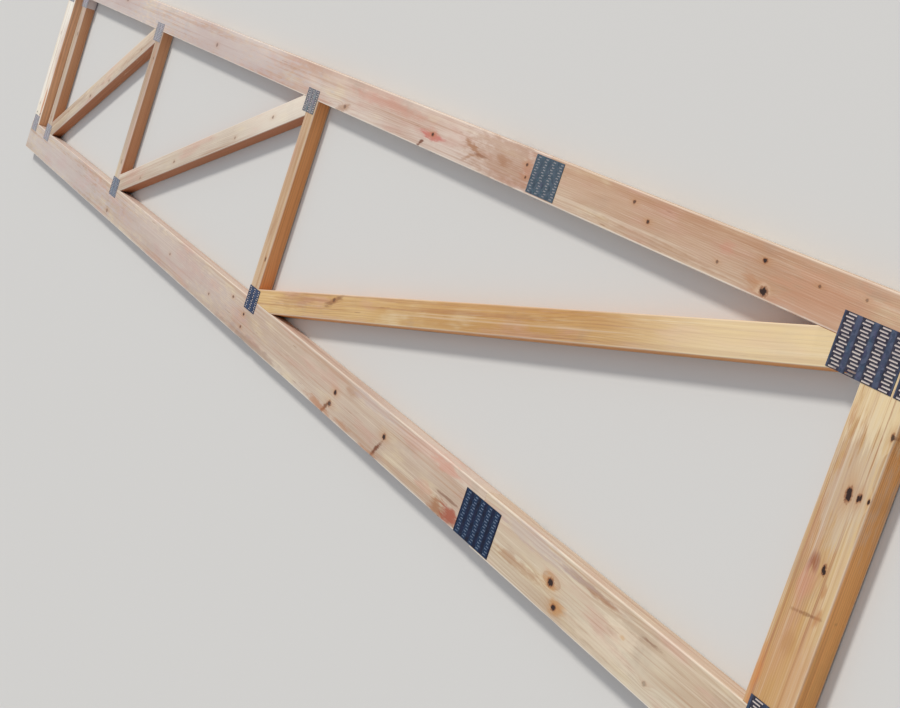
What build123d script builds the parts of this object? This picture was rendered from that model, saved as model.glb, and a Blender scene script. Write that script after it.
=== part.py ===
"""Nail-plated parallel-chord roof truss in softwood, lying flat.

Millimetres. X runs along the chords, Y from the bottom chord up to the top chord,
Z through the thickness. The origin is the centre of the whole truss, at the height
of the outer faces of the lower nail plates, on which it lies.
"""
import os
from math import asin, atan2, degrees, hypot

from build123d import *

# timber sections: every board has the same thickness
thickness = 38.0
bottom_chord_depth = 114.0
top_chord_depth = 89.0
web_depth = 63.0
wide_post_depth = 114.0
arris = 2.0
joint_gap = 0.3

# layout: half of the truss, measured from its left end
overall_height = 755.0
end_posts_gap = 150.0
first_panel = 1170.0
second_panel = 1610.0
third_panel = 2545.0
foot_offset = 55.0
long_foot_offset = 140.0
bottom_splice_from_king = 987.5
top_splice_from_king = 1177.5
bottom_splice_step = 3.0

# nail plates over the webs
plate_thickness = 1.0
web_plate_width = 86.0
web_plate_height = 63.0
foot_plate_shift = 12.0
head_plate_shift = 18.0
head_plate_drop = 6.0
king_head_left_width = 162.0
king_head_right_width = 120.0
king_plate_height = 88.0
king_head_inset = 74.0
king_head_gap = 6.0
king_foot_width = 82.0
king_foot_drop = 26.0

# nail plates over the butt joints of the chords
bottom_splice_plate_length = 162.0
bottom_splice_plate_height = 91.0
bottom_splice_plate_inset = 19.0
top_splice_plate_length = 123.0
top_splice_plate_height = 79.0
top_splice_plate_inset = 5.0

# slots of the king post's plates, each left by two teeth
king_slot_length = 21.0
king_slot_width = 2.8
king_slot_pitch = 5.5
king_band_pitch = 42.0

# slots of the splice plates, each left by one tooth
splice_slot_length = 12.0
splice_slot_width = 2.4
splice_slot_pitch = 5.4
splice_band_pitch = 33.0

# every second row of slots is set off to the side
slot_stagger = 2.2
slot_edge_margin = 1.3

# places worked out from the sizes above
end_post = wide_post_depth / 2
inner_post = wide_post_depth + end_posts_gap + web_depth / 2
post_1 = inner_post + first_panel
post_2 = post_1 + second_panel
king = post_2 + third_panel
bottom_splice = king - bottom_splice_from_king
top_splice = king - top_splice_from_king
truss_length = 2 * king
top_of_truss = overall_height / 2
foot_of_truss = -overall_height / 2
bottom_edge = foot_of_truss + bottom_chord_depth
top_edge = top_of_truss - top_chord_depth
timber_low = plate_thickness
timber_high = plate_thickness + thickness
king_slots = (king_slot_length, king_slot_width, king_slot_pitch, king_band_pitch)
splice_slots = (splice_slot_length, splice_slot_width, splice_slot_pitch, splice_band_pitch)
parts = {}


def from_left(distance):
    """X of a point given by its distance from the left end."""
    return distance - truss_length / 2


def board(length, depth):
    """A planed board along X, lying flat, centred on X and Y, with eased arrises."""
    section = Plane.YZ * chamfer(Rectangle(depth, thickness).vertices(), arris)
    bar = extrude(section, length / 2, both=True)
    return Pos(0, 0, (timber_low + timber_high) / 2) * bar


def chord(start, end, low, high):
    """A length of chord between two distances from the left end."""
    middle = Pos(from_left((start + end) / 2), (low + high) / 2, 0)
    return middle * board(end - start, high - low)


def post(distance, depth):
    """An upright web between the two chords."""
    low = bottom_edge + joint_gap
    high = top_edge - joint_gap
    upright = Rot(0, 0, 90) * board(high - low, depth)
    return Pos(from_left(distance), (low + high) / 2, 0) * upright


def diagonal(left, right, offset):
    """A web cut twice at each end, to fill the corners of the bay between two posts.

    left and right are the faces of the posts. The lower edge starts on the bottom chord
    at the offset from the left post, and the upper edge ends on the top chord at the
    same offset from the right post.
    """
    bay_low = bottom_edge + joint_gap
    bay_high = top_edge - joint_gap
    bay_left = from_left(left) + joint_gap
    bay_right = from_left(right) - joint_gap
    run = bay_right - bay_left - 2 * offset
    rise = bay_high - bay_low
    span = hypot(run, rise)
    slope = degrees(atan2(rise, run) - asin(web_depth / span))
    middle = Pos((bay_left + bay_right) / 2, (bay_low + bay_high) / 2, 0)
    bar = middle * Rot(0, 0, slope) * board(2 * span, web_depth)
    bay = middle * Box(bay_right - bay_left, rise, 4 * timber_high)
    return bar & bay


def plate(distance, y, width, height, slots=()):
    """A nail plate on the lower wide faces of a joint."""
    outline = Rectangle(width, height) - list(slots)
    return Pos(from_left(distance), y, 0) * extrude(outline, plate_thickness)


def punched_plate(distance, y, width, height, pattern):
    """A nail plate with as many bands and rows of slots as fit on it.

    The pattern is a slot's length and width, the pitch of the rows in a band, and the
    pitch of the bands.
    """
    slot_length, slot_width, row_pitch, band_pitch = pattern
    bands = int((width - slot_length - 2 * slot_stagger) / band_pitch) + 1
    rows = int((height - slot_width - 2 * slot_edge_margin) / row_pitch) + 1
    slots = []
    for row in range(rows):
        shift = slot_stagger if row % 2 else -slot_stagger
        level = (row - (rows - 1) / 2) * row_pitch
        for place in GridLocations(band_pitch, row_pitch, bands, 1):
            slots.append(Pos(shift, level) * place * Rectangle(slot_length, slot_width))
    return plate(distance, y, width, height, slots)


def add_plates(name, lower):
    """The same nail plates pressed into both wide faces of a joint."""
    parts["plate_back_" + name] = lower
    parts["plate_front_" + name] = Pos(0, 0, timber_high) * lower


def mirrored(solid):
    """The same piece on the other half of the truss."""
    return mirror(solid, Plane.YZ)


def make_chords():
    """Each chord is two lengths of timber, butted at its splice.

    The left length of the bottom chord is a little shallower than the right one, so
    its lower edge steps up there while their upper edges are flush.
    """
    left_end = bottom_splice - joint_gap / 2
    right_end = bottom_splice + joint_gap / 2
    stepped = foot_of_truss + bottom_splice_step
    parts["bottom_chord_left"] = chord(0, left_end, stepped, bottom_edge)
    parts["bottom_chord_right"] = chord(right_end, truss_length, foot_of_truss, bottom_edge)
    left_end = top_splice - joint_gap / 2
    right_end = top_splice + joint_gap / 2
    parts["top_chord_left"] = chord(0, left_end, top_edge, top_of_truss)
    parts["top_chord_right"] = chord(right_end, truss_length, top_edge, top_of_truss)


def make_posts():
    """Upright webs: two at each end, two along each half and the king post."""
    rows = [
        ("end_post", end_post, wide_post_depth),
        ("inner_end_post", inner_post, web_depth),
        ("post_1", post_1, web_depth),
        ("post_2", post_2, web_depth),
    ]
    for name, distance, depth in rows:
        parts[name + "_left"] = post(distance, depth)
        parts[name + "_right"] = mirrored(parts[name + "_left"])
    parts["king_post"] = post(king, wide_post_depth)


def make_diagonals():
    """Diagonals rise towards the king post from the foot of each upright."""
    half = web_depth / 2
    rows = [
        ("diagonal_1", inner_post + half, post_1 - half, foot_offset),
        ("diagonal_2", post_1 + half, post_2 - half, foot_offset),
        ("diagonal_3", post_2 + half, king - wide_post_depth / 2, long_foot_offset),
    ]
    for name, left, right, offset in rows:
        parts[name + "_left"] = diagonal(left, right, offset)
        parts[name + "_right"] = mirrored(parts[name + "_left"])


def make_web_plates():
    """Plates where an upright meets a chord, set off towards the diagonal there."""
    head_y = top_edge - head_plate_drop
    rows = [
        ("end_foot", end_post, bottom_edge),
        ("end_head", end_post, head_y),
        ("inner_foot", inner_post + foot_plate_shift, bottom_edge),
        ("inner_head", inner_post, head_y),
        ("foot_1", post_1 + foot_plate_shift, bottom_edge),
        ("head_1", post_1 - head_plate_shift, head_y),
        ("foot_2", post_2 + foot_plate_shift, bottom_edge),
        ("head_2", post_2 - head_plate_shift, head_y),
    ]
    for name, distance, y in rows:
        lower = plate(distance, y, web_plate_width, web_plate_height)
        add_plates(name + "_left", lower)
        add_plates(name + "_right", mirrored(lower))


def make_king_plates():
    """Two large plates side by side at the head of the king post, one at its foot."""
    foot_y = bottom_edge - king_foot_drop
    foot = punched_plate(king, foot_y, king_foot_width, king_plate_height, king_slots)
    add_plates("king_foot", foot)
    head_y = top_edge - head_plate_drop
    seam = king - wide_post_depth / 2 + king_head_inset
    left_centre = seam - king_head_left_width / 2
    right_centre = seam + king_head_gap + king_head_right_width / 2
    height = king_plate_height
    left = punched_plate(left_centre, head_y, king_head_left_width, height, king_slots)
    right = punched_plate(right_centre, head_y, king_head_right_width, height, king_slots)
    add_plates("king_head", Compound([left, right]))


def make_splice_plates():
    """A plate over the butt joint of each chord, nearly as deep as the chord."""
    length = bottom_splice_plate_length
    height = bottom_splice_plate_height
    y = bottom_edge - bottom_splice_plate_inset - height / 2
    add_plates("bottom_splice", punched_plate(bottom_splice, y, length, height, splice_slots))
    length = top_splice_plate_length
    height = top_splice_plate_height
    y = top_of_truss - top_splice_plate_inset - height / 2
    add_plates("top_splice", punched_plate(top_splice, y, length, height, splice_slots))


make_chords()
make_posts()
make_diagonals()
make_web_plates()
make_king_plates()
make_splice_plates()
os.makedirs("parts", exist_ok=True)
for name, solid in parts.items():
    export_step(solid, "parts/" + name + ".step")
print(len(parts), "nodes,", round(truss_length), "mm long")
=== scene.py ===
"""Looks of the nail-plated softwood truss: boards with figure and knots, punched plates."""
import math
import random

import bmesh
import bpy
from mathutils import Matrix, Vector, noise


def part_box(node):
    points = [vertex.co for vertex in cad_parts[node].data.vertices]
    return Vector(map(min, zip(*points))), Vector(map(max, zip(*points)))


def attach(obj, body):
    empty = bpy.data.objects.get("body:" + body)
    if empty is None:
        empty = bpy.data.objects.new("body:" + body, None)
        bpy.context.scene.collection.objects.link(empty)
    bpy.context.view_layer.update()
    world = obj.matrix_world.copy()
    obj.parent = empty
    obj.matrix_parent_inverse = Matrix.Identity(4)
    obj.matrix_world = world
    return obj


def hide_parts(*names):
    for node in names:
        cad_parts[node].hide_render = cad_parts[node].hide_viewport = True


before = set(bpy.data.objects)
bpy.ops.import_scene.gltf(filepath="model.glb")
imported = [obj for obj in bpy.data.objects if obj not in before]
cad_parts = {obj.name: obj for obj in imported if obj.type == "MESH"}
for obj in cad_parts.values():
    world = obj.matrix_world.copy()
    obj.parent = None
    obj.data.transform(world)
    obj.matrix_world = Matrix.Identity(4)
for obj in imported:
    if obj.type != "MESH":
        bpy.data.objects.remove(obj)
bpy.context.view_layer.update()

# metres: the depth of the webs, the offsets of the diagonals' feet, the level halfway
# through the boards, and how the slots are set on a plate
WEB_DEPTH = 0.063
FOOT_OFFSETS = {"1": 0.055, "2": 0.055, "3": 0.140}
MIDDLE_OF_TRUSS = 0.020
SLOT_STAGGER = 0.0022
SLOT_EDGE_MARGIN = 0.0013

# a slot's length and width, the pitch of its rows and the pitch of the bands
LONG_SLOTS = (0.021, 0.0028, 0.0055, 0.042)
SHORT_SLOTS = (0.012, 0.0024, 0.0054, 0.033)

# the king post's head has two plates side by side
KING_HEAD_LEFT_WIDTH = 0.162
KING_HEAD_GAP = 0.006

# how far a plate is bent round where a tooth was pushed through it
TOOTH_BEND = 0.0012

# a board's arrises: their mean radius, the least one and the steps round each; and how far
# apart the sections along a board are
ARRIS = 0.0022
SHARPEST_ARRIS = 0.0012
ARRIS_STEPS = 4
SECTION_SPACING = 0.045

# before its ends are sawn, a diagonal's board is this many times its span
UNCUT_LENGTH = 1.12

# nails in the foot of an end post
NAIL_RADIUS = 0.0042
NAIL_PROUD = 0.0007
NAIL_SIDES = 18
NAILS_ABOVE_CHORD = 0.041
NAILS_FROM_EDGE = 0.027

# the painted highlight along an arris, measured in from the edge of the board
ARRIS_BAND_START = 0.0042
ARRIS_BAND_FULL = 0.0012

# a knot and its halo are longer along the board: a distance that way counts for this much
KNOT_SQUEEZE = 0.66
HALO_SQUEEZE = 0.40

# how far the rings bend round a knot, in radii of the knot
KNOT_BEND = 1.1

# how far the centre of the growth rings wanders across a board and through it
WANDER_ACROSS = 0.044
WANDER_THROUGH = 0.034

# the floor reaches this far from the truss, and lies this far below it
FLOOR_REACH = 60
FLOOR_DROP = 0.0005

# the camera: its focal length and the picture's width in pixels, and the sensor's in mm
FOCAL_PIXELS = 1858.37
PICTURE_PIXELS = 900
SENSOR_WIDTH = 36.0


# node helpers

class Tree:
    """Short ways to build a node tree."""

    def __init__(self, tree):
        self.nodes = tree.nodes
        self.links = tree.links

    def put(self, socket, value):
        if isinstance(value, bpy.types.NodeSocket):
            self.links.new(value, socket)
        elif value is not None:
            socket.default_value = value

    def math(self, operation, a, b=None, c=None):
        node = self.nodes.new("ShaderNodeMath")
        node.operation = operation
        for socket, value in zip(node.inputs, (a, b, c)):
            self.put(socket, value)
        return node.outputs[0]

    def length(self, x, y):
        """Length of a vector of two numbers."""
        return self.math("SQRT", self.math("MULTIPLY_ADD", x, x, self.math("MULTIPLY", y, y)))

    def span(self, value, low, high, out_low=0.0, out_high=1.0):
        """Smooth step of a value from one range to another."""
        node = self.nodes.new("ShaderNodeMapRange")
        node.interpolation_type = "SMOOTHSTEP"
        for socket, number in zip(node.inputs, (value, low, high, out_low, out_high)):
            self.put(socket, number)
        return node.outputs[0]

    def vector(self, x, y, z):
        node = self.nodes.new("ShaderNodeCombineXYZ")
        for socket, value in zip(node.inputs, (x, y, z)):
            self.put(socket, value)
        return node.outputs[0]

    def parts(self, vector):
        """The three numbers of a vector."""
        node = self.nodes.new("ShaderNodeSeparateXYZ")
        self.put(node.inputs[0], vector)
        return node.outputs

    def noise(self, vector, scale, detail, roughness=0.5):
        node = self.nodes.new("ShaderNodeTexNoise")
        self.put(node.inputs["Vector"], vector)
        node.inputs["Scale"].default_value = scale
        node.inputs["Detail"].default_value = detail
        node.inputs["Roughness"].default_value = roughness
        return node.outputs["Fac"]

    def mix(self, factor, a, b):
        node = self.nodes.new("ShaderNodeMix")
        node.data_type = "RGBA"
        for number, value in ((0, factor), (6, a), (7, b)):
            self.put(node.inputs[number], value)
        return node.outputs[2]

    def layer(self, colour, field, start, full, strength, tint):
        """A tint over a colour, from where a field starts it to where it is full."""
        return self.mix(self.span(field, start, full, 0.0, strength), colour, rgb(*tint))

    def bump(self, height, strength, distance):
        node = self.nodes.new("ShaderNodeBump")
        node.inputs["Strength"].default_value = strength
        node.inputs["Distance"].default_value = distance
        self.put(node.inputs["Height"], height)
        return node.outputs[0]


def rgb(r, g, b):
    """A colour given in display values, 0 to 255."""
    linear = []
    for value in (r, g, b):
        value = value / 255
        linear.append(value / 12.92 if value < 0.04045 else ((value + 0.055) / 1.055) ** 2.4)
    return (*linear, 1.0)


def blank(name):
    """A new material, its tree, its shader and the coordinates of the piece it is on."""
    material = bpy.data.materials.new(name)
    material.use_nodes = True
    t = Tree(material.node_tree)
    place = t.nodes.new("ShaderNodeTexCoord")
    return material, t, t.nodes["Principled BSDF"], place.outputs


def knot_group():
    """Fields of one knot: core, rim, halo, and how far it bends the growth rings."""
    group = bpy.data.node_groups.new("knot", "ShaderNodeTree")
    for name in ("X", "Y", "Ragged", "Centre X", "Centre Y", "Radius", "Bend"):
        group.interface.new_socket(name, in_out="INPUT", socket_type="NodeSocketFloat")
    for name in ("Core", "Rim", "Halo", "Shift", "Distance"):
        group.interface.new_socket(name, in_out="OUTPUT", socket_type="NodeSocketFloat")
    t = Tree(group)
    source = t.nodes.new("NodeGroupInput").outputs
    sink = t.nodes.new("NodeGroupOutput").inputs
    dx = t.math("SUBTRACT", source["X"], source["Centre X"])
    dy = t.math("SUBTRACT", source["Y"], source["Centre Y"])
    near = t.length(t.math("MULTIPLY", dx, KNOT_SQUEEZE), dy)
    share = t.math("ADD", t.math("DIVIDE", near, source["Radius"]), source["Ragged"])
    core = t.span(share, 1.15, 0.80)
    rim = t.math("MULTIPLY", t.span(share, 1.75, 1.10), t.span(share, 0.60, 0.90))
    stretched = t.math("MULTIPLY", dx, HALO_SQUEEZE)
    far = t.math("ADD", t.math("MULTIPLY", stretched, stretched), t.math("MULTIPLY", dy, dy))
    reach = t.math("MULTIPLY", source["Radius"], source["Radius"])
    halo = t.math("EXPONENT", t.math("MULTIPLY", t.math("DIVIDE", far, reach), -0.17))
    shift = t.math("MULTIPLY", t.math("MULTIPLY", halo, source["Radius"]), source["Bend"])
    for socket, value in zip(sink, (core, rim, halo, shift, near)):
        t.put(socket, value)
    return group


KNOT = knot_group()

# pale and warm wood of the faces, the narrow faces' tint of painted light and shade and its strength,
# and how strongly brown streaks show along the grain
WOODS = {
    "rosy": ((224, 206, 192), (200, 165, 145), (238, 222, 202), 0.45, 0.34),
    "tan": ((214, 188, 162), (192, 152, 122), (240, 224, 200), 0.50, 0.36),
    "cream": ((214, 198, 180), (194, 171, 150), (214, 190, 178), 0.45, 0.34),
    "butter": ((216, 202, 178), (196, 172, 144), (212, 186, 166), 0.45, 0.34),
    "honey": ((220, 184, 126), (196, 148, 86), (236, 160, 88), 0.85, 0.50),
    "straw": ((222, 198, 164), (196, 158, 118), (222, 146, 80), 0.85, 0.46),
    # the bright wood is painted sunlight on the end post's faces
    "bright": ((254, 250, 238), (244, 228, 204), (226, 156, 92), 0.80, 0.30),
    "grey": ((212, 198, 180), (186, 162, 138), (206, 136, 80), 0.80, 0.42),
    "umber": ((214, 200, 182), (188, 164, 140), (182, 106, 56), 0.90, 0.42),
    "heart": ((220, 190, 142), (198, 156, 100), (244, 172, 98), 0.85, 0.85),
}

# painted reflection: the tint of the wood seen through each kind of plate's slots, like the bent
# teeth's lit steel
SILVER, STEEL, SLOT_BLUE = (226, 216, 212), (158, 164, 174), (92, 124, 160)
SLOT_REFLECTIONS = {"bottom_splice": SLOT_BLUE, "top_splice": STEEL}


def joint_kind(node):
    """Kind of joint that a nail plate's node is for."""
    joint = node.split("_", 2)[2]
    return joint.rsplit("_", 1)[0] if joint.endswith(("_left", "_right")) else joint


def plate_boxes(node):
    """Corners of the separate plates of a nail plate's node."""
    low, high = (Vector(c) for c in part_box(node))
    if joint_kind(node) != "king_head":
        return [(low, high)]
    left_high = Vector((low.x + KING_HEAD_LEFT_WIDTH, high.y, high.z))
    right_low = Vector((left_high.x + KING_HEAD_GAP, low.y, low.z))
    return [(low, left_high), (right_low, high)]


def slot_reflection(t, node, middle, turn, x, y, colour):
    """Paints reflection on the wood under the plates that lie on a board, up to their edges, in the
    tint of the teeth's lit steel.
    """
    ca, sa = math.cos(turn), math.sin(turn)
    frame_x = t.math("MULTIPLY_ADD", x, ca, t.math("MULTIPLY_ADD", y, -sa, middle.x))
    frame_y = t.math("MULTIPLY_ADD", x, sa, t.math("MULTIPLY_ADD", y, ca, middle.y))
    low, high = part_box(node)
    for plate in sorted(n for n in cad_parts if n.startswith("plate_front_")):
        tint = rgb(*SLOT_REFLECTIONS.get(joint_kind(plate), SILVER))
        for plate_low, plate_high in plate_boxes(plate):
            if any(plate_low[i] > high[i] or plate_high[i] < low[i] for i in (0, 1)):
                continue
            inside = 0.85
            for i, at in enumerate((frame_x, frame_y)):
                half = (plate_high[i] - plate_low[i]) / 2
                centre = (plate_low[i] + plate_high[i]) / 2
                off = t.math("ABSOLUTE", t.math("SUBTRACT", at, centre))
                inside = t.math("MULTIPLY", t.span(off, half - 0.0006, half - 0.0014), inside)
            # painted reflection: the wood inside a plate's box takes the steel's tint
            colour = t.mix(inside, colour, tint)
    return colour


def grain(t, at, along, across, detail, roughness=0.5, offset=0.0):
    """Noise stretched along a board."""
    x, y, z = at
    place = t.vector(
        t.math("MULTIPLY_ADD", x, along, offset),
        t.math("MULTIPLY", y, across),
        t.math("MULTIPLY", z, across),
    )
    return t.noise(place, 1.0, detail, roughness)


def growth_rings(t, at, seed, pith):
    """Distance from the pith, which wanders along the board."""
    x, y, z = at
    offsets = []
    walks = ((y, 0.9, 1.7, 0.0, WANDER_ACROSS), (z, 1.2, 3.1, 5.0, WANDER_THROUGH))
    for (side, pace, spread, level, reach), start in zip(walks, pith):
        walk = t.noise(t.vector(t.math("MULTIPLY", x, pace), seed * spread, level), 1.0, 1.5)
        centre = t.math("MULTIPLY_ADD", walk, reach, start - reach / 2)
        offsets.append(t.math("SUBTRACT", side, centre))
    ripple = grain(t, at, 5.0, 26.0, 2.0)
    return t.math("MULTIPLY_ADD", ripple, 0.0042, t.length(*offsets))


def knot_fields(t, x, at, ring, pith, knots):
    """The rings bent round the knots, and the knots' cores, rims, halos and distance."""
    y = at[1]
    speckle = t.noise(t.vector(at[0], y, 0.0), 170.0, 3.0, 0.6)
    ragged = t.math("MULTIPLY_ADD", speckle, 1.7, -0.85)
    core = rim = halo = 0.0
    nearest = 1.0
    for knot_x, knot_y, radius, dark in knots:
        knot = t.nodes.new("ShaderNodeGroup")
        knot.node_tree = KNOT
        bend = KNOT_BEND if knot_y > pith[0] else -KNOT_BEND
        for socket, value in zip(knot.inputs, (x, y, ragged, knot_x, knot_y, radius, bend)):
            t.put(socket, value)
        out = knot.outputs
        ring = t.math("ADD", ring, out["Shift"])
        core = t.math("MAXIMUM", core, t.math("MULTIPLY", out["Core"], dark))
        rim = t.math("MAXIMUM", rim, t.math("MULTIPLY", out["Rim"], dark))
        halo = t.math("MAXIMUM", halo, t.math("MULTIPLY", out["Halo"], dark))
        nearest = t.math("MINIMUM", nearest, out["Distance"])
    return ring, core, rim, halo, nearest


def late_wood(t, at, ring, seed, spacing):
    """The dark edge of each ring, stronger and weaker along the board."""
    uneven = t.noise(t.vector(0.0, t.math("MULTIPLY", ring, 110.0), seed), 1.0, 1.0)
    phase = t.math("FRACT", t.math("MULTIPLY_ADD", uneven, 1.6, t.math("DIVIDE", ring, spacing)))
    edge = t.math("MULTIPLY", t.span(phase, 0.30, 0.88), t.span(phase, 1.0, 0.92))
    return t.math("MULTIPLY", edge, t.span(grain(t, at, 2.3, 18.0, 3.0), 0.30, 0.72, 0.25, 1.0))


def wide_faces(t, at, late, streak, fibre, figure, wood):
    """Colour of the wide faces: slow changes, rings, streaks, fibres and short dashes."""
    pale, warm = (rgb(*tint) for tint in WOODS[wood][:2])
    streaks = WOODS[wood][4]
    slow = grain(t, at, 1.4, 11.0, 3.0)
    cloud = grain(t, at, 4.0, 20.0, 3.0, 0.55, 31.0)
    smudge = grain(t, at, 7.0, 9.0, 4.0, 0.6, 57.0)
    dash = grain(t, at, 14.0, 300.0, 1.0, 0.5, 83.0)
    colour = t.mix(t.span(slow, 0.34, 0.68), pale, warm)
    colour = t.layer(colour, cloud, 0.50, 0.70, 0.50, (206, 158, 142))
    colour = t.layer(colour, cloud, 0.46, 0.28, 0.40, (234, 218, 178))
    colour = t.mix(t.math("MULTIPLY", late, figure), colour, rgb(160, 104, 64))
    colour = t.layer(colour, streak, 0.53, 0.66, streaks, (172, 118, 80))
    colour = t.layer(colour, streak, 0.44, 0.30, 0.30, (242, 228, 206))
    colour = t.layer(colour, fibre, 0.42, 0.28, 0.34, (150, 104, 72))
    colour = t.layer(colour, fibre, 0.56, 0.72, 0.30, (248, 236, 216))
    colour = t.layer(colour, smudge, 0.54, 0.74, 0.26, (160, 140, 126))
    return t.layer(colour, dash, 0.74, 0.80, 0.50, (140, 88, 54))


def narrow_face_light(t, colour, narrow, late, streak, wood):
    """The narrow faces' tint, painted light and shade: warm shade and bounce light on uprights' and
    diagonals' sides, a paler sunlit tint on top chords', over the grain's rings and streaks.
    """
    side, share = WOODS[wood][2:4]
    tint = t.mix(t.math("MULTIPLY", late, 0.50), rgb(*side), rgb(150, 88, 46))
    tint = t.layer(tint, streak, 0.50, 0.64, 0.45, (156, 92, 50))
    # painted light and shade: the narrow faces take their tint
    return t.mix(t.math("MULTIPLY", narrow, share), colour, tint)


def arris_highlights(t, colour, at, size, turn):
    """Painted highlights along the arrises, of which a chord's lower ones are the brightest."""
    edge = 1.0
    for side, width in zip(at[1:], size):
        off = t.math("ABSOLUTE", side)
        band = t.span(off, width / 2 - ARRIS_BAND_START, width / 2 - ARRIS_BAND_FULL)
        edge = t.math("MULTIPLY", band, edge)
    # painted highlight: a chord's lower arrises get the strongest pale tint
    lower_highlight = 0.80 if abs(turn) < 0.1 else 0.30
    share = t.span(at[1], 0.01, -0.01, 0.30, lower_highlight)
    return t.mix(t.math("MULTIPLY", edge, share), colour, rgb(252, 243, 228))


def sawn_ends(t, colour, end_grain, late):
    """The end grain, which shows the rings most."""
    look = t.mix(t.math("MULTIPLY", late, 0.8), rgb(200, 160, 116), rgb(128, 80, 46))
    return t.mix(end_grain, colour, look)


def stained(t, colour, x, at, streak, stains):
    """Leaning oval stains, broken up along the grain."""
    torn = grain(t, at, 24.0, 120.0, 3.0, 0.6, 11.0)
    broken = t.math("MULTIPLY_ADD", streak, 1.3, t.math("MULTIPLY_ADD", torn, 2.2, -1.75))
    for stain_x, stain_y, half_x, half_y, lean, strength, tint in stains:
        ca, sa = math.cos(math.radians(lean)), math.sin(math.radians(lean))
        dx = t.math("SUBTRACT", x, stain_x)
        dy = t.math("SUBTRACT", at[1], stain_y)
        along = t.math("MULTIPLY_ADD", dx, ca / half_x, t.math("MULTIPLY", dy, sa / half_x))
        across = t.math("MULTIPLY_ADD", dx, -sa / half_y, t.math("MULTIPLY", dy, ca / half_y))
        away = t.math("ADD", t.length(along, across), broken)
        colour = t.layer(colour, away, 1.20, 0.35, strength, tint)
    return colour


def painted_sun(t, colour, node, x, narrow, middle, turn):
    """Painted sunlight that takes over towards one end of a board's wide faces."""
    for start, full, strength, tint in SUN_PATCHES.get(node, ()):
        ends = [(at - middle.x) / math.cos(turn) for at in (start, full)]
        wide = t.math("SUBTRACT", 1.0, narrow)
        share = t.math("MULTIPLY", t.span(x, *ends, 0.0, strength), wide)
        # painted sunlight: the wide faces turn pale towards one end
        colour = t.mix(share, colour, rgb(*tint))
    return colour


def knotted(t, colour, core, rim, halo, nearest):
    """The knots' own colours, with fine rings in the core."""
    turns = t.math("FRACT", t.math("MULTIPLY", nearest, 620.0))
    heart = t.mix(t.span(turns, 0.2, 0.8), rgb(58, 28, 14), rgb(30, 15, 9))
    colour = t.mix(t.math("MULTIPLY", halo, 0.46), colour, rgb(190, 132, 76))
    colour = t.mix(t.math("MULTIPLY", rim, 0.70), colour, rgb(140, 78, 38))
    return t.mix(core, colour, heart)


def timber(node, look, size, middle, turn, knots, stains):
    """Planed softwood in a board's own axes: X along it, Y across it, Z through it.

    look is a seed, the Y and Z of the tree's centre, the ring spacing, how strongly the
    rings show and the kind of wood. knots are (x, y, radius, darkness) and stains are
    (x, y, half length, half width, lean, strength, colour).
    """
    seed, pith, spacing, figure, wood = look
    material, t, shader, place = blank("pine_" + node)
    x, y, z = t.parts(place["Object"])
    facing_x, facing_y = t.parts(place["Normal"])[:2]
    end_grain = t.span(t.math("ABSOLUTE", facing_x), 0.25, 0.55)
    narrow = t.span(t.math("ABSOLUTE", facing_y), 0.55, 0.95)
    at = (t.math("ADD", x, seed * 7.31), y, z)
    ring = growth_rings(t, at, seed, pith)
    ring, core, rim, halo, nearest = knot_fields(t, x, at, ring, pith, knots)
    late = late_wood(t, at, ring, seed, spacing)
    fibre = grain(t, at, 8.0, 850.0, 3.0, 0.6)
    streak = grain(t, at, 1.1, 130.0, 3.0, 0.55)
    colour = wide_faces(t, at, late, streak, fibre, figure, wood)
    colour = narrow_face_light(t, colour, narrow, late, streak, wood)
    colour = arris_highlights(t, colour, at, size, turn)
    colour = sawn_ends(t, colour, end_grain, late)
    colour = stained(t, colour, x, at, streak, stains)
    colour = painted_sun(t, colour, node, x, narrow, middle, turn)
    colour = knotted(t, colour, core, rim, halo, nearest)
    colour = slot_reflection(t, node, middle, turn, x, y, colour)
    height = t.math("MULTIPLY_ADD", late, 0.6, t.math("MULTIPLY", fibre, 0.7))
    height = t.math("SUBTRACT", height, t.math("MULTIPLY", core, 0.8))
    rough = t.math("MULTIPLY_ADD", fibre, 0.20, 0.50)
    t.put(shader.inputs["Base Color"], colour)
    t.put(shader.inputs["Roughness"], t.math("MULTIPLY_ADD", end_grain, 0.2, rough))
    shader.inputs["Specular IOR Level"].default_value = 0.35
    t.put(shader.inputs["Normal"], t.bump(height, 0.35, 0.0006))
    return material


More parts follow.
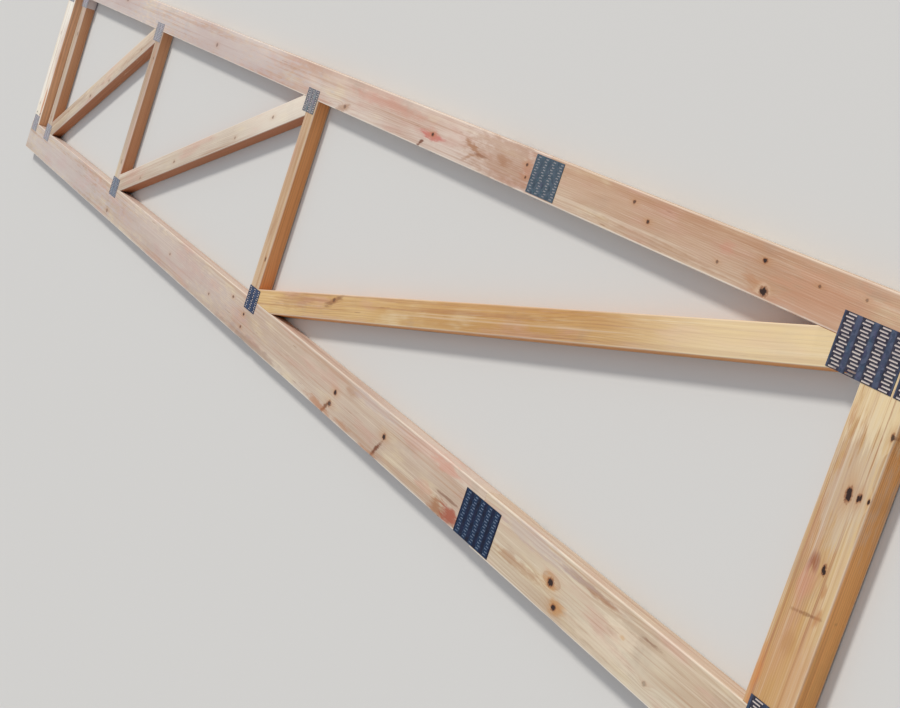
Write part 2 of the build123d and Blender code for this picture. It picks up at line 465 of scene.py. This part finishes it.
def galvanised(name, seed, bands, band_pitch, reach, base, bright, shade):
    """Zinc-coated sheet in a plate's own axes, with painted shade and reflection where the teeth were
    punched.
    """
    material, t, shader, place = blank(name)
    x, y = t.parts(place["Object"])[:2]
    spangle = t.nodes.new("ShaderNodeTexVoronoi")
    t.put(spangle.inputs["Vector"], t.vector(t.math("ADD", x, seed), y, 0.0))
    spangle.inputs["Scale"].default_value = 130.0
    facet = t.nodes.new("ShaderNodeSeparateColor")
    t.put(facet.inputs[0], spangle.outputs["Color"])
    cloud = t.noise(t.vector(t.math("ADD", x, seed * 2.0), y, 0.0), 38.0, 4.0, 0.6)
    tarnish = t.noise(t.vector(x, t.math("ADD", y, seed * 3.0), 2.0), 60.0, 3.0, 0.6)
    across = t.math("MULTIPLY_ADD", y, 700.0, seed * 5.0)
    scuff = t.noise(t.vector(t.math("MULTIPLY", x, 90.0), across, 0.0), 1.0, 3.0, 0.6)
    band_at = t.math("ADD", t.math("DIVIDE", x, band_pitch), 0.0 if bands % 2 else 0.5)
    to_band = t.math("ABSOLUTE", t.math("SUBTRACT", band_at, t.math("ROUND", band_at)))
    punched = t.span(to_band, reach / band_pitch + 0.10, reach / band_pitch - 0.02)
    red, green, blue = bright
    purple = (red, green * 0.80, blue * 0.96)
    teal = (red * 0.62, green * 0.92, blue * 0.92)
    colour = t.mix(facet.outputs[0], rgb(*base), rgb(*bright))
    colour = t.layer(colour, cloud, 0.40, 0.72, 0.45, bright)
    colour = t.layer(colour, tarnish, 0.54, 0.70, 0.55, purple)
    colour = t.layer(colour, tarnish, 0.46, 0.32, 0.55, teal)
    # painted shade and reflection among the slots: darker on most plates, lighter on the splice plates
    colour = t.mix(t.math("MULTIPLY", punched, 0.65), colour, rgb(*shade))
    colour = t.layer(colour, scuff, 0.62, 0.74, 0.35, (176, 182, 190))
    relief = t.math("ADD", scuff, t.math("MULTIPLY", facet.outputs[1], 0.5))
    t.put(shader.inputs["Base Color"], colour)
    shader.inputs["Metallic"].default_value = 0.72
    t.put(shader.inputs["Roughness"], t.math("MULTIPLY_ADD", cloud, 0.30, 0.42))
    t.put(shader.inputs["Normal"], t.bump(relief, 0.25, 0.0004))
    return material


# meshes

def add(name, data):
    """A new object in the scene."""
    piece = bpy.data.objects.new(name, data)
    bpy.context.scene.collection.objects.link(piece)
    return piece


def mesh_from(name, vertices, faces):
    """A mesh of points and faces."""
    mesh = bpy.data.meshes.new(name)
    mesh.from_pydata(vertices, [], faces)
    return mesh


def section(depth, thickness, radii):
    """Points of a board's section, anticlockwise from the upper front arris.

    There is one radius for each arris: upper front, lower front, lower back, upper back.
    """
    points = []
    signs = ((1, 1), (-1, 1), (-1, -1), (1, -1))
    for corner, ((sy, sz), radius) in enumerate(zip(signs, radii)):
        centre_y = sy * (depth / 2 - radius)
        centre_z = sz * (thickness / 2 - radius)
        for step in range(ARRIS_STEPS + 1):
            angle = math.radians(90 * corner + 90 * step / ARRIS_STEPS)
            y = centre_y + radius * math.cos(angle)
            z = centre_z + radius * math.sin(angle)
            points.append((y, z))
    return points


def board(name, length, depth, thickness, seed, wane=()):
    """A planed board along its own X, with arrises that vary and the wane of its log."""
    count = max(2, int(length / SECTION_SPACING) + 1)
    vertices = []
    for i in range(count):
        x = -length / 2 + length * i / (count - 1)
        radii = []
        for corner in range(4):
            wobble = noise.noise(Vector((x * 5.0, corner * 9.0, seed)))
            chip = max(0.0, noise.noise(Vector((x * 23.0, corner * 5.0, seed + 3.0))) - 0.42)
            radius = ARRIS * (1.0 + 0.35 * wobble) + 0.004 * chip
            for wane_x, wane_corner, half, size in wane:
                if wane_corner == corner and abs(x - wane_x) < half:
                    radius += size * math.cos((x - wane_x) / half * math.pi / 2) ** 2
            radii.append(max(SHARPEST_ARRIS, radius))
        vertices += [(x, y, z) for y, z in section(depth, thickness, radii)]
    ring = len(vertices) // count
    faces = []
    for i in range(count - 1):
        for j in range(ring):
            k = (j + 1) % ring
            a, b = i * ring, (i + 1) * ring
            faces.append((a + j, b + j, b + k, a + k))
    last = (count - 1) * ring
    faces.append(tuple(range(ring)))
    faces.append(tuple(last + j for j in reversed(range(ring))))
    mesh = mesh_from(name, vertices, faces)
    work = bmesh.new()
    work.from_mesh(mesh)
    bmesh.ops.recalc_face_normals(work, faces=work.faces)
    work.to_mesh(mesh)
    work.free()
    return add(name, mesh)


def smooth(piece, angle=40):
    """Rounds the arrises and keeps the sawn ends sharp."""
    mesh = piece.data
    mesh.polygons.foreach_set("use_smooth", [True] * len(mesh.polygons))
    mesh.set_sharp_from_angle(angle=math.radians(angle))


def cut(piece, point, normal):
    """Saws a board through a plane of its own axes, and closes the cut."""
    work = bmesh.new()
    work.from_mesh(piece.data)
    geometry = work.verts[:] + work.edges[:] + work.faces[:]
    result = bmesh.ops.bisect_plane(
        work, geom=geometry, plane_co=point, plane_no=normal, clear_outer=True, dist=1e-6)
    edges = [e for e in result["geom_cut"] if isinstance(e, bmesh.types.BMEdge)]
    bmesh.ops.edgeloop_fill(work, edges=edges)
    bmesh.ops.recalc_face_normals(work, faces=work.faces)
    work.to_mesh(piece.data)
    work.free()


def stand(piece, nodes):
    """Puts a piece in the frame for the nodes that it replaces."""
    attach(piece, "root")
    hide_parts(*nodes)


def straight_board(node, along_y, look, nicks=()):
    """A chord or an upright, from the box of its node."""
    low, high = (Vector(c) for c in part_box(node))
    size = high - low
    middle = (low + high) / 2
    length, depth = (size.y, size.x) if along_y else (size.x, size.y)
    turn = math.radians(90) if along_y else 0.0
    knots, stains = local_marks(node, middle, turn)
    if not knots:
        knots = scattered(look[0], length, depth, 2)
    local_nicks = [(at - middle.x, corner, half, deep) for at, corner, half, deep in nicks]
    piece = board("timber_" + node, length, depth, size.z, look[0], local_nicks)
    smooth(piece)
    piece.matrix_world = Matrix.Translation(middle) @ Matrix.Rotation(turn, 4, "Z")
    piece.data.materials.append(timber(node, look, (depth, size.z), middle, turn, knots, stains))
    stand(piece, [node])


def sloping_board(node, look):
    """A diagonal, cut twice at each end to fill the corners of its bay."""
    low, high = (Vector(c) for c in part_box(node))
    offset = FOOT_OFFSETS[node.split("_")[1]]
    size = high - low
    run = size.x - 2 * offset
    span = math.hypot(run, size.y)
    turn = math.atan2(size.y, run) - math.asin(WEB_DEPTH / span)
    if node.endswith("right"):
        turn = -turn
    middle = (low + high) / 2
    knots, stains = local_marks(node, middle, turn)
    if not knots:
        knots = scattered(look[0], span, WEB_DEPTH, 4)
    piece = board("timber_" + node, UNCUT_LENGTH * span, WEB_DEPTH, size.z, look[0])
    place = Matrix.Translation(middle) @ Matrix.Rotation(turn, 4, "Z")
    back = place.inverted()
    spin = back.to_3x3()
    cuts = ((low, (-1, 0, 0)), (low, (0, -1, 0)), (high, (1, 0, 0)), (high, (0, 1, 0)))
    for corner, normal in cuts:
        cut(piece, back @ corner, spin @ Vector(normal))
    smooth(piece)
    piece.matrix_world = place
    size_across = (WEB_DEPTH, size.z)
    piece.data.materials.append(timber(node, look, size_across, middle, turn, knots, stains))
    stand(piece, [node])


class Sheet:
    """Points and faces of a plate that lies from Z 0 to its thickness."""

    def __init__(self, thick):
        self.thick = thick
        self.vertices = []
        self.faces = []

    def face(self, *corners):
        start = len(self.vertices)
        self.vertices.extend(corners)
        self.faces.append(tuple(range(start, start + len(corners))))

    def slab(self, x0, x1, y0, y1):
        """Top and bottom of a plain stretch of the plate."""
        z = self.thick
        self.face((x0, y0, z), (x1, y0, z), (x1, y1, z), (x0, y1, z))
        self.face((x0, y1, 0), (x1, y1, 0), (x1, y0, 0), (x0, y0, 0))

    def bend(self, foot, side, y0, y1):
        """The metal bent down at one end of a slot, where a tooth was pushed through."""
        profile = []
        for angle in (math.pi / 2, math.pi / 3, math.pi / 6, 0.0):
            x = foot + side * TOOTH_BEND - side * TOOTH_BEND * math.cos(angle)
            profile.append((x, self.thick * math.sin(angle)))
        for (ax, az), (bx, bz) in zip(profile, profile[1:]):
            strip = [(ax, y0, az), (bx, y0, bz), (bx, y1, bz), (ax, y1, az)]
            self.face(*(strip if side < 0 else reversed(strip)))
        for y, flip in ((y0, side > 0), (y1, side < 0)):
            wall = [(x, y, z) for x, z in profile] + [(foot, y, self.thick)]
            self.face(*(reversed(wall) if flip else wall))

    def slot(self, edge, x0, x1, y0, y1):
        """A slot and the plate between it and an edge; gives the edge on its other side."""
        z = self.thick
        top_x0 = x0 - TOOTH_BEND
        self.face((edge, y0, z), (top_x0, y0, z), (top_x0, y1, z), (edge, y1, z))
        self.face((edge, y1, 0), (x0, y1, 0), (x0, y0, 0), (edge, y0, 0))
        self.bend(x0, -1, y0, y1)
        self.bend(x1, 1, y0, y1)
        self.face((x0, y0, 0), (x1, y0, 0), (x1, y0, z), (x0, y0, z))
        self.face((x1, y1, 0), (x0, y1, 0), (x0, y1, z), (x1, y1, z))
        return x1 + TOOTH_BEND

    def rim(self, width, height):
        """The four sides of the plate."""
        rx, ry = width / 2, height / 2
        ring = [(-rx, -ry), (rx, -ry), (rx, ry), (-rx, ry)]
        for (ax, ay), (bx, by) in zip(ring, ring[1:] + ring[:1]):
            self.face((ax, ay, 0), (bx, by, 0), (bx, by, self.thick), (ax, ay, self.thick))


def punched_sheet(width, height, thick, pattern):
    """A plate with as many bands and rows of slots as fit on it, and its bands' number."""
    slot_length, slot_width, row_pitch, band_pitch = pattern
    bands = int((width - slot_length - 2 * SLOT_STAGGER) / band_pitch) + 1
    rows = int((height - slot_width - 2 * SLOT_EDGE_MARGIN) / row_pitch) + 1
    sheet = Sheet(thick)
    left, right = -width / 2, width / 2
    last_y = -height / 2
    for row in range(rows):
        middle = (row - (rows - 1) / 2) * row_pitch
        y0, y1 = middle - slot_width / 2, middle + slot_width / 2
        sheet.slab(left, right, last_y, y0)
        shift = SLOT_STAGGER if row % 2 else -SLOT_STAGGER
        edge = left
        for band in range(bands):
            centre = (band - (bands - 1) / 2) * band_pitch + shift
            edge = sheet.slot(edge, centre - slot_length / 2, centre + slot_length / 2, y0, y1)
        sheet.slab(edge, right, y0, y1)
        last_y = y1
    sheet.slab(left, right, last_y, height / 2)
    sheet.rim(width, height)
    return sheet, bands


def plates(node, seed):
    """The plates of one face of a joint, each in its own box of the frame."""
    kind = joint_kind(node)
    name = "steel_" + node.removeprefix("plate_")
    pattern = LONG_SLOTS if kind.startswith("king") else SHORT_SLOTS
    reach = pattern[0] / 2 + SLOT_STAGGER
    boxes = plate_boxes(node)
    made = []
    for index, (low, high) in enumerate(boxes):
        size = high - low
        sheet, bands = punched_sheet(size.x, size.y, size.z, pattern)
        label = "%s_%d" % (name, index + 1) if len(boxes) > 1 else name
        piece = add(label, mesh_from(label, sheet.vertices, sheet.faces))
        middle = (low + high) / 2
        under = middle.z < MIDDLE_OF_TRUSS
        place = Matrix.Translation((middle.x, middle.y, high.z if under else low.z))
        piece.matrix_world = place @ Matrix.Rotation(math.pi if under else 0.0, 4, "X")
        marks = (bands, pattern[3], reach, *ZINCS[kind])
        piece.data.materials.append(galvanised("zinc_" + label, seed + index * 1.3, *marks))
        made.append(piece)
    for piece in made:
        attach(piece, "root")
    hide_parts(node)


# knots and stains that can be read on the faces, in the frame's metres, in the order
# that timber() takes them

PINK = (206, 140, 118)
ROSE = (204, 112, 100)
AMBER = (178, 108, 54)
OCHRE = (196, 138, 74)
RUST = (168, 84, 58)
TAN = (168, 116, 78)
BROWN = (120, 66, 36)
UMBER = (92, 46, 24)
CREAM = (240, 222, 196)
IVORY = (252, 242, 226)
BUTTER = (250, 232, 190)
LILAC = (188, 170, 168)
MIST = (202, 192, 192)
ASH = (206, 190, 172)
DUSK = (150, 112, 94)
CHESTNUT = (150, 84, 52)
GOLD = (206, 158, 98)
ORANGE = (206, 128, 68)
CLAY = (204, 148, 116)

KNOTS = {
    "bottom_chord_left": [
        (-2.680, -0.293, 0.0035, 0.7), (-2.561, -0.313, 0.0032, 1.0), (-2.557, -0.347, 0.0030, 0.8),
        (-1.823, -0.313, 0.0050, 1.0), (-1.836, -0.344, 0.0055, 0.8), (-1.500, -0.318, 0.0050, 1.0),
        (-2.880, -0.335, 0.0030, 0.6), (-3.330, -0.320, 0.0030, 0.6), (-4.150, -0.350, 0.0050, 0.5),
    ],
    "bottom_chord_right": [
        (-0.666, -0.322, 0.0062, 1.0), (-0.630, -0.356, 0.0046, 1.0), (-0.300, -0.350, 0.0036, 0.35),
        (0.620, -0.300, 0.0090, 0.7), (1.750, -0.345, 0.0070, 0.7), (2.800, -0.310, 0.0090, 0.7),
        (4.100, -0.335, 0.0080, 0.7),
    ],
    "top_chord_left": [
        (-1.269, 0.344, 0.0030, 0.8), (-1.259, 0.319, 0.0024, 0.8), (-1.755, 0.326, 0.0038, 0.9),
        (-2.320, 0.304, 0.0045, 0.5), (-3.500, 0.320, 0.0050, 0.5), (-4.700, 0.345, 0.0060, 0.5),
    ],
    "top_chord_right": [
        (-0.357, 0.302, 0.0062, 1.0), (-0.380, 0.348, 0.0034, 1.0), (-0.823, 0.356, 0.0030, 0.8),
        (-0.757, 0.332, 0.0030, 0.9), (-0.508, 0.316, 0.0024, 0.6), (-0.224, 0.343, 0.0024, 0.6),
        (-0.106, 0.351, 0.0022, 0.5), (0.900, 0.350, 0.0090, 0.7), (2.300, 0.310, 0.0070, 0.7),
        (3.900, 0.340, 0.0080, 0.7),
    ],
    "king_post": [
        (0.006, 0.087, 0.0062, 1.0), (0.009, 0.083, 0.0042, 1.0), (0.029, 0.088, 0.0034, 1.0),
        (0.033, 0.090, 0.0030, 1.0), (0.052, 0.091, 0.0024, 1.0), (0.013, -0.027, 0.0040, 1.0),
        (0.016, -0.030, 0.0030, 1.0), (0.052, 0.188, 0.0032, 0.9),
    ],
    "diagonal_3_left": [(-2.000, -0.130, 0.0045, 0.55), (-1.640, -0.030, 0.0030, 0.4)],
    "post_2_left": [(-2.530, -0.150, 0.0040, 0.8)],
}
STAINS = {
    "bottom_chord_left": [
        (-1.165, -0.362, 0.055, 0.018, 0, 0.85, TAN), (-1.105, -0.360, 0.050, 0.020, 0, 0.90, RUST),
        (-1.130, -0.331, 0.060, 0.0035, 0, 0.60, BROWN), (-1.250, -0.350, 0.050, 0.016, 0, 0.35, PINK),
        (-1.525, -0.356, 0.034, 0.009, 48, 0.95, BROWN), (-1.560, -0.372, 0.070, 0.010, 0, 0.55, AMBER),
        (-1.850, -0.352, 0.034, 0.008, 44, 0.85, UMBER), (-1.900, -0.366, 0.100, 0.010, 0, 0.60, AMBER),
        (-1.740, -0.366, 0.070, 0.009, 0, 0.45, AMBER), (-1.185, -0.280, 0.075, 0.018, 0, 0.50, PINK),
        (-1.740, -0.284, 0.045, 0.010, 0, 0.45, TAN), (-2.480, -0.366, 0.300, 0.012, 0, 0.30, BROWN),
        (-1.600, -0.275, 0.220, 0.012, 0, 0.40, LILAC), (-3.400, -0.320, 0.900, 0.060, 0, 0.45, LILAC),
        (-4.900, -0.320, 0.900, 0.070, 0, 0.55, MIST),
    ],
    "bottom_chord_right": [
        (-0.668, -0.322, 0.030, 0.014, 0, 0.70, OCHRE), (-0.625, -0.352, 0.036, 0.014, 0, 0.70, OCHRE),
        (-0.800, -0.338, 0.120, 0.010, 0, 0.50, TAN), (-0.560, -0.281, 0.110, 0.006, 0, 0.60, DUSK),
        (-0.490, -0.285, 0.060, 0.005, 0, 0.50, TAN), (-0.320, -0.288, 0.040, 0.003, 0, 0.60, BROWN),
        (-0.760, -0.280, 0.190, 0.016, 0, 0.45, LILAC), (-0.400, -0.312, 0.060, 0.024, 0, 0.45, CREAM),
        (-0.400, -0.314, 0.012, 0.005, 0, 0.50, GOLD), (-0.470, -0.352, 0.120, 0.018, 0, 0.35, CREAM),
    ],
    "top_chord_left": [
        (-1.262, 0.333, 0.030, 0.030, 0, 0.50, PINK), (-1.758, 0.325, 0.060, 0.013, 0, 0.85, ROSE),
        (-1.530, 0.334, 0.050, 0.008, -12, 0.75, TAN), (-1.490, 0.324, 0.060, 0.003, 0, 0.60, BROWN),
        (-1.545, 0.312, 0.040, 0.006, 20, 0.60, TAN), (-1.375, 0.334, 0.045, 0.012, 0, 0.60, TAN),
        (-1.810, 0.297, 0.018, 0.006, 30, 0.90, BROWN), (-2.330, 0.300, 0.050, 0.010, 15, 0.50, TAN),
        (-2.050, 0.350, 0.300, 0.014, 0, 0.35, PINK), (-1.350, 0.335, 0.240, 0.060, 0, 0.48, TAN),
        (-3.500, 0.330, 0.900, 0.060, 0, 0.55, MIST), (-4.900, 0.330, 0.900, 0.060, 0, 0.60, MIST),
    ],
    "top_chord_right": [
        (-0.357, 0.302, 0.024, 0.012, 0, 0.85, CREAM), (-0.493, 0.342, 0.030, 0.012, 0, 0.35, PINK),
        (-0.400, 0.310, 0.030, 0.012, 0, 0.40, AMBER), (-0.740, 0.300, 0.240, 0.008, 0, 0.35, TAN),
        (-0.180, 0.320, 0.200, 0.050, 0, 0.45, CLAY),
    ],
    "king_post": [
        (-0.012, -0.024, 0.018, 0.014, 0, 0.80, CHESTNUT), (0.020, 0.088, 0.020, 0.020, 0, 0.35, TAN),
        (-0.046, -0.215, 0.060, 0.010, 0, 0.70, ORANGE), (-0.046, 0.194, 0.022, 0.010, 0, 0.60, AMBER),
        (0.012, -0.097, 0.0035, 0.040, 8, 0.60, BROWN), (0.036, -0.093, 0.014, 0.007, 0, 0.55, AMBER),
        (0.030, -0.055, 0.010, 0.006, 0, 0.50, AMBER), (-0.005, -0.150, 0.022, 0.018, 0, 0.50, TAN),
        (0.000, 0.100, 0.120, 0.060, 0, 0.50, ASH), (-0.015, -0.060, 0.030, 0.024, 0, 0.40, PINK),
        (0.010, -0.200, 0.120, 0.070, 0, 0.45, GOLD), (0.000, 0.225, 0.070, 0.090, 0, 0.45, BUTTER),
    ],
    "diagonal_3_left": [
        (-2.000, -0.132, 0.060, 0.010, 14, 0.65, BROWN), (-2.230, -0.190, 0.120, 0.024, 0, 0.35, TAN),
        (-1.200, 0.070, 0.400, 0.040, 0, 0.35, GOLD),
    ],
    "diagonal_1_left": [(-4.500, 0.150, 0.500, 0.040, 0, 0.40, CREAM)],
    "end_post_left": [(-5.530, -0.170, 0.070, 0.014, 0, 0.75, ORANGE)],
    "post_2_left": [
        (-2.548, -0.060, 0.050, 0.012, 0, 0.45, TAN), (-2.535, 0.150, 0.080, 0.012, 0, 0.35, TAN),
    ],
}

# painted sunlight at one end of a board: where it begins and is full, its strength and colour
SUN_PATCHES = {
    "diagonal_2_left": [(-3.200, -2.780, 0.50, IVORY)],
    "diagonal_3_left": [(-0.900, -0.420, 0.50, BUTTER)],
}


def local_marks(node, centre, turn):
    """Knots and stains of a node in its board's own axes, which are turned by an angle."""
    ca, sa = math.cos(-turn), math.sin(-turn)

    def spin(x, y):
        dx, dy = x - centre.x, y - centre.y
        return dx * ca - dy * sa, dx * sa + dy * ca

    knots = [(*spin(x, y), *rest) for x, y, *rest in KNOTS.get(node, ())]
    stains = [(*spin(x, y), *rest) for x, y, *rest in STAINS.get(node, ())]
    return knots, stains


def scattered(seed, length, depth, count):
    """Small knots for a board whose own can't be read, placed by its seed."""
    dice = random.Random(int(seed * 101))
    found = []
    for i in range(count):
        x = -length / 2 + length * (i + dice.uniform(0.2, 0.8)) / count
        y = dice.uniform(-0.32, 0.32) * depth
        found.append((x, y, dice.uniform(0.002, 0.005), dice.uniform(0.35, 0.65)))
    return found


# seed, pith, ring spacing, strength of the figure, and kind of wood
CHORDS = {
    "bottom_chord_left": (1.0, (0.075, -0.060), 0.0030, 0.24, "cream"),
    "bottom_chord_right": (2.0, (0.006, -0.052), 0.0036, 0.34, "butter"),
    "top_chord_left": (3.0, (-0.065, -0.050), 0.0028, 0.22, "rosy"),
    "top_chord_right": (4.0, (-0.070, -0.030), 0.0030, 0.24, "tan"),
}
UPRIGHTS = {
    # the end post's bright wood is painted sunlight
    "end_post_left": (5.0, (0.070, -0.030), 0.0034, 0.20, "bright"),
    "end_post_right": (6.0, (0.010, -0.050), 0.0036, 0.30, "straw"),
    "inner_end_post_left": (7.0, (0.045, -0.050), 0.0028, 0.25, "grey"),
    "inner_end_post_right": (8.0, (-0.040, 0.040), 0.0030, 0.30, "straw"),
    "post_1_left": (9.0, (-0.050, -0.040), 0.0030, 0.25, "grey"),
    "post_1_right": (10.0, (0.020, -0.045), 0.0032, 0.30, "honey"),
    "post_2_left": (11.0, (0.050, -0.036), 0.0030, 0.30, "straw"),
    "post_2_right": (12.0, (-0.010, 0.046), 0.0032, 0.30, "straw"),
    "king_post": (13.0, (-0.064, -0.046), 0.0036, 0.46, "heart"),
}
DIAGONALS = {
    "diagonal_1_left": (14.0, (0.060, -0.030), 0.0028, 0.24, "umber"),
    "diagonal_1_right": (15.0, (0.010, -0.045), 0.0030, 0.30, "straw"),
    "diagonal_2_left": (16.0, (-0.050, -0.050), 0.0030, 0.24, "umber"),
    "diagonal_2_right": (17.0, (0.040, 0.040), 0.0030, 0.30, "honey"),
    "diagonal_3_left": (18.0, (0.050, -0.050), 0.0032, 0.32, "honey"),
    "diagonal_3_right": (19.0, (-0.020, -0.045), 0.0032, 0.30, "straw"),
}

# nicks: place along the truss, which arris in the order of section(), half their length
# and their depth
LOWER_FRONT, UPPER_BACK = 1, 3
NICKS = {
    "bottom_chord_right": [
        (-0.797, UPPER_BACK, 0.060, 0.005), (-0.610, LOWER_FRONT, 0.030, 0.003),
        (-0.430, UPPER_BACK, 0.140, 0.003),
    ],
    "bottom_chord_left": [(-2.530, LOWER_FRONT, 0.050, 0.004), (-1.530, LOWER_FRONT, 0.040, 0.002)],
}

for node, look in CHORDS.items():
    straight_board(node, False, look, NICKS.get(node, ()))
for node, look in UPRIGHTS.items():
    straight_board(node, True, look)
for node, look in DIAGONALS.items():
    sloping_board(node, look)

# each zinc is its darker and lighter crystals, and the steel among the slots; the zincs are lit and
# shaded copies of one steel, painting the light and reflection each plate takes, palest at the far end
LILAC_ZINC = ((164, 164, 172), (202, 198, 202), (148, 146, 154))
PALE_ZINC = ((128, 130, 136), (170, 168, 172), (104, 106, 114))
SKY_ZINC = ((112, 122, 140), (156, 164, 178), (92, 102, 122))
BLUE_ZINC = ((34, 52, 84), (74, 94, 128), (40, 60, 96))
SLATE_ZINC = ((60, 72, 96), (98, 106, 130), (52, 34, 38))
NAVY_ZINC = ((8, 16, 42), (24, 38, 74), (34, 66, 100))
DULL_ZINC = ((62, 78, 92), (96, 112, 126), (92, 108, 120))
ZINCS = {
    "bottom_splice": NAVY_ZINC, "top_splice": DULL_ZINC,
    "king_head": SLATE_ZINC, "king_foot": SLATE_ZINC,
    "foot_2": BLUE_ZINC, "foot_1": SKY_ZINC, "head_2": PALE_ZINC, "head_1": LILAC_ZINC,
    "inner_foot": LILAC_ZINC, "inner_head": LILAC_ZINC,
    "end_foot": LILAC_ZINC, "end_head": LILAC_ZINC,
}

for number, node in enumerate(sorted(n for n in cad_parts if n.startswith("plate_"))):
    plates(node, number * 0.37)


def nail_head(name, x, y, z):
    """A nail's round head, slightly domed, driven flush with a board."""
    shape = ((1.0, -0.3), (1.0, 0.55), (0.8, 0.9), (0.35, 1.0))
    vertices = []
    for across, up in shape:
        for k in range(NAIL_SIDES):
            angle = 2 * math.pi * k / NAIL_SIDES
            radius = NAIL_RADIUS * across
            vertices.append((radius * math.cos(angle), radius * math.sin(angle), NAIL_PROUD * up))
    faces = []
    for level in range(len(shape) - 1):
        a, b = level * NAIL_SIDES, (level + 1) * NAIL_SIDES
        for k in range(NAIL_SIDES):
            n = (k + 1) % NAIL_SIDES
            faces.append((a + k, a + n, b + n, b + k))
    top = (len(shape) - 1) * NAIL_SIDES
    faces.append(tuple(range(top, top + NAIL_SIDES)))
    piece = add(name, mesh_from(name, vertices, faces))
    piece.location = (x, y, z)
    rusty = ((52, 46, 44), (84, 78, 74), (40, 34, 32))
    piece.data.materials.append(galvanised("rusty_" + name, x, 1, 1.0, 1.0, *rusty))
    smooth(piece, 50)
    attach(piece, "root")


post_low, post_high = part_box("end_post_left")
for index, x in enumerate((post_low[0] + NAILS_FROM_EDGE, post_high[0] - NAILS_FROM_EDGE)):
    nail_head("nail_%d" % (index + 1), x, post_low[1] + NAILS_ABOVE_CHORD, post_high[2])

# stage, light and camera

far = FLOOR_REACH
corners = [(-far, -far, 0), (far, -far, 0), (far, far, 0), (-far, far, 0)]
floor_mesh = mesh_from("floor", corners, [(0, 1, 2, 3)])
floor = add("floor", floor_mesh)
floor.location.z = -FLOOR_DROP
floor_material = bpy.data.materials.new("floor")
floor_material.use_nodes = True
floor_shader = floor_material.node_tree.nodes["Principled BSDF"]
floor_shader.inputs["Base Color"].default_value = rgb(214, 213, 210)
floor_shader.inputs["Roughness"].default_value = 0.9
floor_mesh.materials.append(floor_material)

world = bpy.data.worlds.new("studio")
world.use_nodes = True
background = world.node_tree.nodes["Background"]
background.inputs["Color"].default_value = (0.93, 0.95, 1.0, 1.0)
background.inputs["Strength"].default_value = 0.55
bpy.context.scene.world = world

sun_data = bpy.data.lights.new("key", "SUN")
sun_data.energy = 2.15
sun_data.angle = math.radians(9)
sun_data.color = (1.0, 0.965, 0.91)
sun = add("key", sun_data)
shining = Vector((0.34, -0.70, -0.63))
sun.rotation_euler = shining.to_track_quat("-Z", "Y").to_euler()

camera_data = bpy.data.cameras.new("camera")
camera_data.sensor_width = SENSOR_WIDTH
camera_data.sensor_fit = "HORIZONTAL"
camera_data.lens = FOCAL_PIXELS / PICTURE_PIXELS * SENSOR_WIDTH
camera_data.clip_end = 200.0
camera = add("camera", camera_data)
right = Vector((0.386493, 0.315410, -0.866683))
up = Vector((-0.265086, 0.938044, 0.223166))
back = Vector((0.883376, 0.143493, 0.446158))
aim = Matrix((right, up, back)).transposed().to_4x4()
camera.matrix_world = Matrix.Translation((2.0676, 0.4740, 1.7531)) @ aim
bpy.context.scene.camera = camera
bpy.context.scene.view_settings.view_transform = "Standard"
